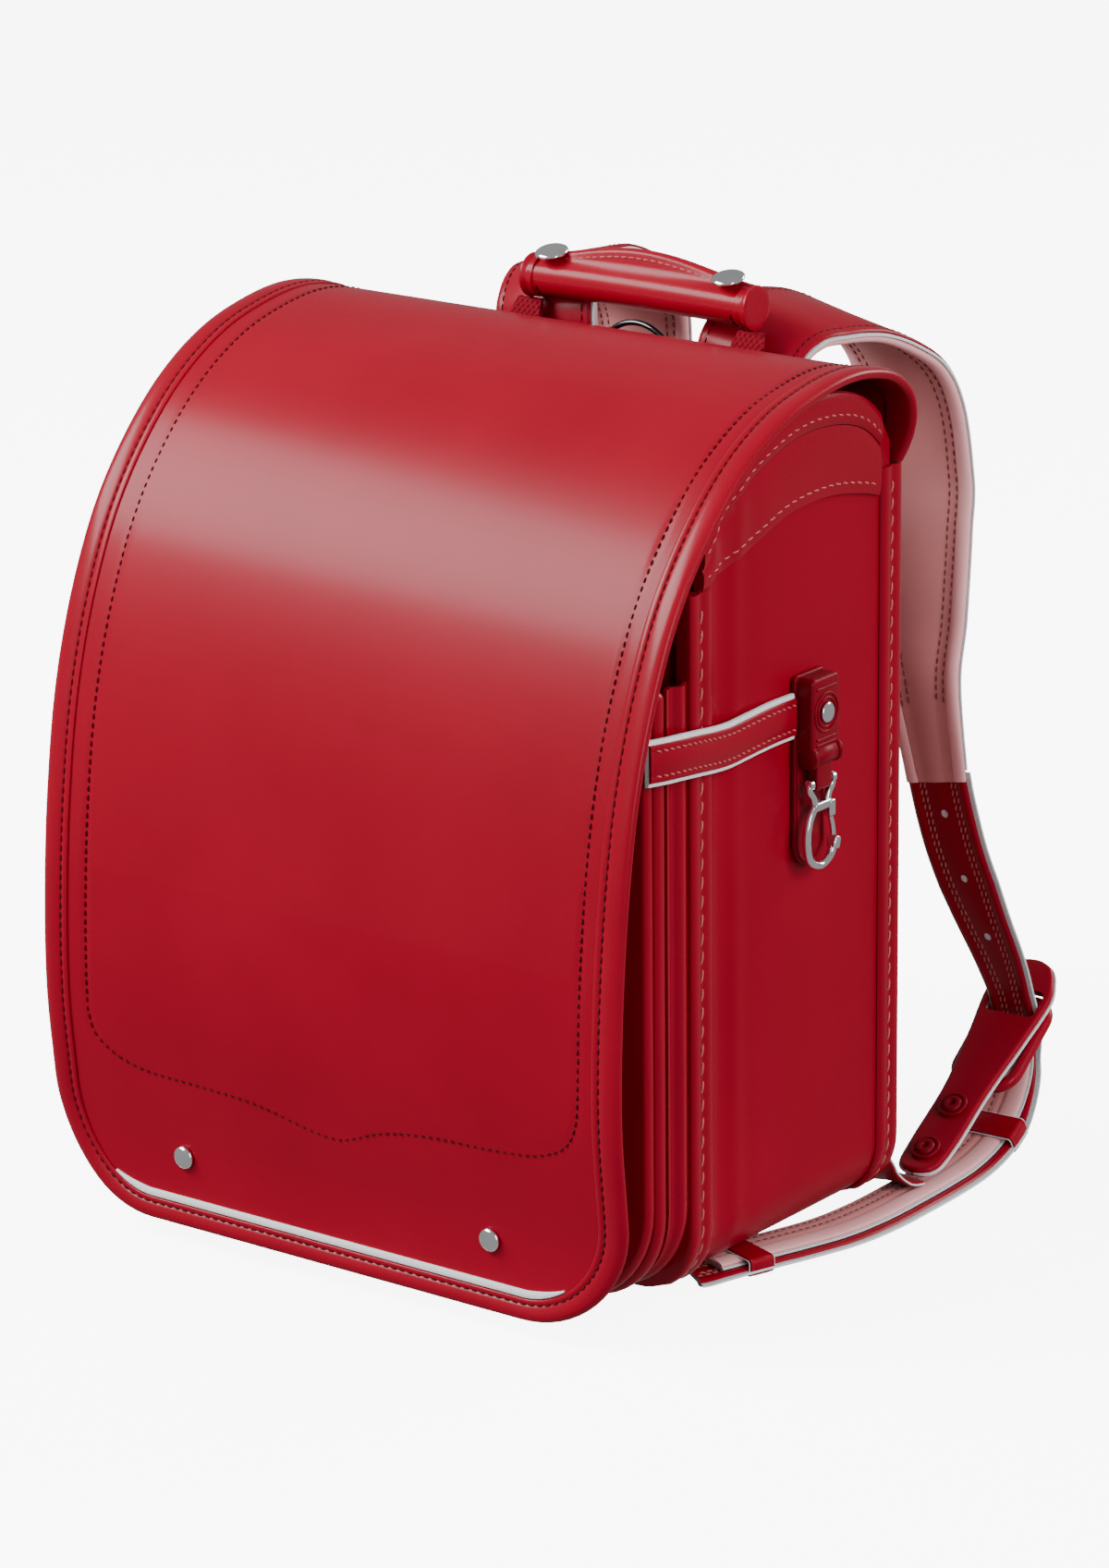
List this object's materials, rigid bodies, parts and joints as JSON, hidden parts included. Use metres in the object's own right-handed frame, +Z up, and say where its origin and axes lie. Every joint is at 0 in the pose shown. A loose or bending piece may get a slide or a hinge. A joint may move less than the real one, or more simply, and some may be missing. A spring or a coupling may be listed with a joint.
{
  "type": "school ransel backpack",
  "caption": "Box-shaped school backpack with a long curved flap that reaches the lower edge, a top handle, lined shoulder straps, buckled belts and side snap hooks.",
  "frame": {"origin": "middle of the lock plate's flat underside, under the front of the bag", "axes": "+X to the right of someone who faces the flap, +Y from the flap towards the wearer, +Z up"},
  "size_m": [0.2726, 0.2949, 0.3535],
  "materials": {
    "leather": "glossy red synthetic leather",
    "lining": "matt pale pink synthetic leather",
    "reflective": "pale grey retroreflective trim",
    "moulded": "moulded dark red",
    "webbing": "coarse red webbing",
    "chrome": "bright plated",
    "nickel": "dark nickel plated"
  },
  "bodies": {
    "bag": {"main_gusset": "leather", "front_edging": "leather", "back_edging": "leather", "front_board": "leather", "back_board": "leather", "pocket_gusset": "leather", "pocket_front": "leather", "slim_pocket": "leather", "flap": "leather", "flap_binding": "leather", "handle_grip": "leather", "back_pad": "lining", "flap_reflector": "reflective", "clasp_tongue": "chrome", "strap_anchor": "nickel", "flap_rivet_left": "chrome", "handle_rivet_left": "chrome", "hook_rivet_left": "chrome", "side_yoke_left": "leather", "side_top_band_left": "leather", "shoulder_strap_left": "leather", "holed_belt_left": "leather", "buckle_pad_left": "leather", "belt_root_left": "leather", "upper_keeper_left": "leather", "lower_keeper_left": "leather", "strap_lining_left": "lining", "lower_belt_left": "lining", "side_band_left": "reflective", "hook_mount_left": "moulded", "buckle_left": "moulded", "pad_eyelet_upper_left": "moulded", "pad_eyelet_lower_left": "moulded", "handle_loop_left": "webbing", "flap_rivet_right": "chrome", "handle_rivet_right": "chrome", "hook_rivet_right": "chrome", "side_yoke_right": "leather", "side_top_band_right": "leather", "shoulder_strap_right": "leather", "holed_belt_right": "leather", "buckle_pad_right": "leather", "belt_root_right": "leather", "upper_keeper_right": "leather", "lower_keeper_right": "leather", "strap_lining_right": "lining", "lower_belt_right": "lining", "side_band_right": "reflective", "hook_mount_right": "moulded", "buckle_right": "moulded", "pad_eyelet_upper_right": "moulded", "pad_eyelet_lower_right": "moulded", "handle_loop_right": "webbing"},
    "hook_right": {"snap_hook_right": "chrome"},
    "hook_left": {"snap_hook_left": "chrome"},
    "gate_right": {"snap_gate_right": "chrome"},
    "gate_left": {"snap_gate_left": "chrome"},
    "ring": {"hanging_ring": "nickel"}
  },
  "joints": [
    {"name": "hook_swing_right", "type": "hinge", "parent": "bag", "child": "hook_right", "pos_m": [0.131, 0.0535, 0.1865], "axis": [0, 1, 0], "range_deg": [-100, 0]},
    {"name": "hook_swing_left", "type": "hinge", "parent": "bag", "child": "hook_left", "pos_m": [-0.131, 0.0535, 0.1865], "axis": [0, 1, 0], "range_deg": [0, 100]},
    {"name": "gate_right_hinge", "type": "hinge", "parent": "hook_right", "child": "gate_right", "pos_m": [0.131, 0.0597, 0.1722], "axis": [1, 0, 0], "range_deg": [-25, 0], "stiffness_Nm_per_rad": 0.02},
    {"name": "gate_left_hinge", "type": "hinge", "parent": "hook_left", "child": "gate_left", "pos_m": [-0.131, 0.0597, 0.1722], "axis": [1, 0, 0], "range_deg": [-25, 0], "stiffness_Nm_per_rad": 0.02},
    {"name": "ring_hinge", "type": "hinge", "parent": "bag", "child": "ring", "pos_m": [0, 0.121, 0.296], "axis": [1, 0, 0], "range_deg": [-90, 5]}
  ]
}
